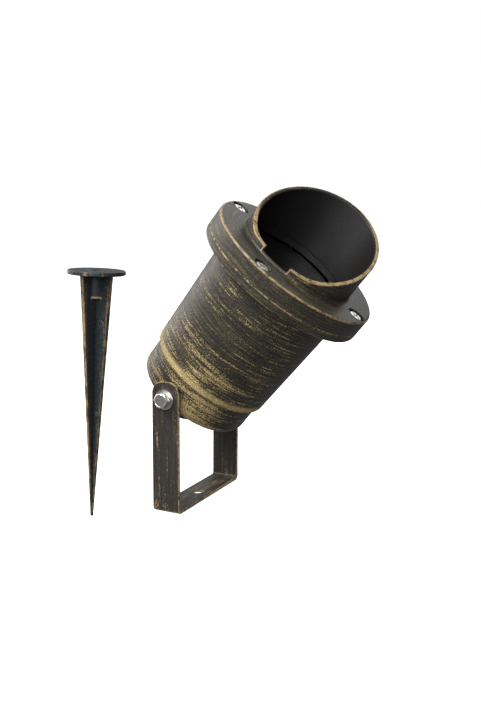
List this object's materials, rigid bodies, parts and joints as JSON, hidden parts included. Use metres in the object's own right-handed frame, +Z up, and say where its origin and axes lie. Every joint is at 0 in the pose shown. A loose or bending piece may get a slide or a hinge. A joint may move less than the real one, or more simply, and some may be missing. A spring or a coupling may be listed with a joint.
{
  "type": "garden spike spotlight",
  "caption": "A cast garden spotlight with a slanted hood, tilting on a folded strip yoke, beside its loose ground spike with a disc top.",
  "frame": {"origin": "Centre of the yoke's base hole, on the underside of the base.", "axes": "+Z up. +X along the tilt axis, towards the leg that the hood's long side is over. The head looks towards -Y and up at 51.1 degrees."},
  "size_m": [0.1082, 0.1303, 0.1605],
  "materials": {
    "lamp_paint": "cast aluminium, near-black brown enamel dry-brushed with old gold in fine streaks round the barrel, edges rubbed to gold",
    "bracket_paint": "folded steel strip, near-black brown enamel with gold-rubbed edges and faint gold streaks",
    "glass": "clear glass",
    "gasket_rubber": "matt black silicone and nitrile rubber",
    "stainless_steel": "plain stainless steel, slightly dull",
    "spacer_steel": "zinc-plated steel",
    "lamp_mirror": "faceted mirror coating on pressed glass",
    "ceramic": "unglazed off-white steatite",
    "brass": "plain brass",
    "block_plastic": "off-white polyamide",
    "lead_sleeve": "woven glass-fibre sleeve over high-temperature wire",
    "gland_plastic": "black polyamide",
    "spike_plastic": "moulded black plastic, edges rubbed with old gold paint"
  },
  "bodies": {
    "yoke": {"yoke_bracket": "bracket_paint"},
    "head": {"housing_can": "lamp_paint", "front_ring": "lamp_paint", "glass_lens": "glass", "lamp_front_glass": "glass", "lamp_capsule": "glass", "lens_gasket": "gasket_rubber", "gland_washer": "gasket_rubber", "gland_seal": "gasket_rubber", "ring_screws": "stainless_steel", "pivot_bolts": "stainless_steel", "pivot_spring_washers": "stainless_steel", "pivot_washers": "stainless_steel", "earth_screw": "stainless_steel", "pivot_spacers": "spacer_steel", "lampholder_screws": "spacer_steel", "terminal_screws": "spacer_steel", "terminal_fixing_screw": "spacer_steel", "lamp_reflector": "lamp_mirror", "lamp_base": "ceramic", "lampholder": "ceramic", "lamp_pins": "brass", "lampholder_contacts": "brass", "earth_washer": "brass", "terminal_block": "block_plastic", "lampholder_leads": "lead_sleeve", "gland_body": "gland_plastic", "gland_locknut": "gland_plastic", "gland_nut": "gland_plastic"},
    "spike": {"ground_spike": "spike_plastic"}
  },
  "joints": [
    {"name": "head_tilt", "type": "hinge", "parent": "yoke", "child": "head", "pos_m": [0, 0, 0.058], "axis": [-1, 0, 0], "range_deg": [-56, 134]},
    {"name": "spike_lift", "type": "slide", "parent": "yoke", "child": "spike", "axis": [0.0177, -0.036, 0.9992], "range_m": [0, 0.15]}
  ]
}
